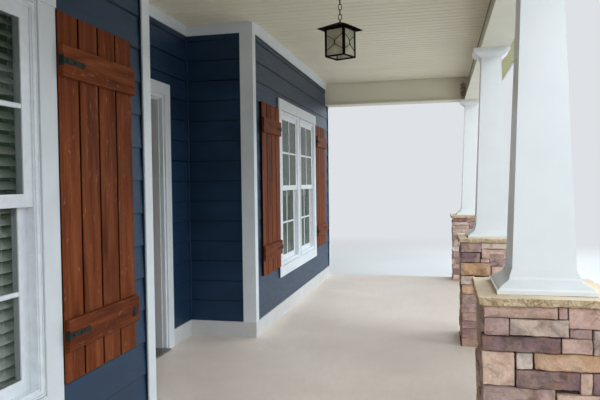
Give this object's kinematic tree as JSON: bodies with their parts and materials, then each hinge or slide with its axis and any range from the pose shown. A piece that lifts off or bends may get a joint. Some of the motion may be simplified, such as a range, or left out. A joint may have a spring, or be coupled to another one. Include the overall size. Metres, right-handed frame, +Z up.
{
  "type": "front porch",
  "caption": "Covered front porch: stone piers with tapered columns, boxed beams, boarded ceiling, shuttered twin windows, a recessed entry door and a hanging lantern.",
  "frame": {"origin": "on the slab's underside at grade, on the door's centre line, in the plane of the house wall's outer face", "axes": "+X along the house wall, +Y into the house, +Z up; the street is towards -Y"},
  "size_m": [9.638, 3.281, 3.8728],
  "materials": {
    "floor_concrete": "smooth trowelled concrete, matt",
    "pier_stone": "split ledge stone in mixed browns, mauves and greys",
    "cap_stone": "rough-edged tan flagstone",
    "white_trim": "painted, low sheen",
    "column_paint": "painted column wrap, low sheen",
    "ceiling_board": "beaded boards, matt",
    "siding": "dark blue painted lap siding",
    "shingles": "mineral-faced shingles",
    "window_vinyl": "white vinyl, soft sheen",
    "window_pane": "clear",
    "blind_slat": "white slats",
    "shutter_wood": "stained reddish brown, visible grain",
    "black_iron": "black",
    "door_wood": "dark red stain, satin",
    "sill_metal": "mill finish, worn",
    "lantern_bronze": "dark bronze paint"
  },
  "bodies": {
    "porch": {"floor_slab": "floor_concrete", "piers": "pier_stone", "pier_caps": "cap_stone", "column_bases": "column_paint", "column_shafts": "column_paint", "capitals": "column_paint", "front_beam": "white_trim", "left_header": "white_trim", "right_header": "white_trim", "ceiling": "ceiling_board", "alcove_ceiling": "ceiling_board", "eave_soffit": "ceiling_board", "fascia": "white_trim", "roof_deck": "shingles", "roof_ends": "siding", "left_wall": "siding", "right_wall": "siding", "alcove_walls": "siding", "door_side_walls": "siding", "over_door_wall": "siding", "upper_wall": "siding", "corner_boards": "white_trim", "frieze_boards": "white_trim", "baseboards": "white_trim", "left_window_casing": "white_trim", "right_window_casing": "white_trim", "left_window_frame": "window_vinyl", "right_window_frame": "window_vinyl", "window_glass": "window_pane", "window_blinds": "blind_slat", "shutter_1": "shutter_wood", "shutter_2": "shutter_wood", "shutter_3": "shutter_wood", "shutter_4": "shutter_wood", "shutter_straps": "black_iron", "door_casing": "white_trim", "door_frame": "white_trim", "threshold": "sill_metal", "lantern_mount": "lantern_bronze"},
    "door": {"door_leaf": "door_wood", "door_glass": "window_pane", "door_handle": "black_iron"},
    "chain": {"lantern_chain": "lantern_bronze"},
    "lantern": {"lantern_body": "lantern_bronze", "lantern_glass": "window_pane"}
  },
  "joints": [
    {"name": "door_hinge", "type": "hinge", "parent": "porch", "child": "door", "pos_m": [0.46, 0.747, 1.2], "axis": [0, 0, -1], "range_deg": [0, 90]},
    {"name": "chain_swing", "type": "hinge", "parent": "porch", "child": "chain", "pos_m": [0, -0.945, 2.8436], "axis": [1, 0, 0], "range_deg": [-15, 15]},
    {"name": "lantern_swing", "type": "hinge", "parent": "chain", "child": "lantern", "pos_m": [0, -0.945, 2.6077], "axis": [0, 1, 0], "range_deg": [-15, 15]}
  ]
}
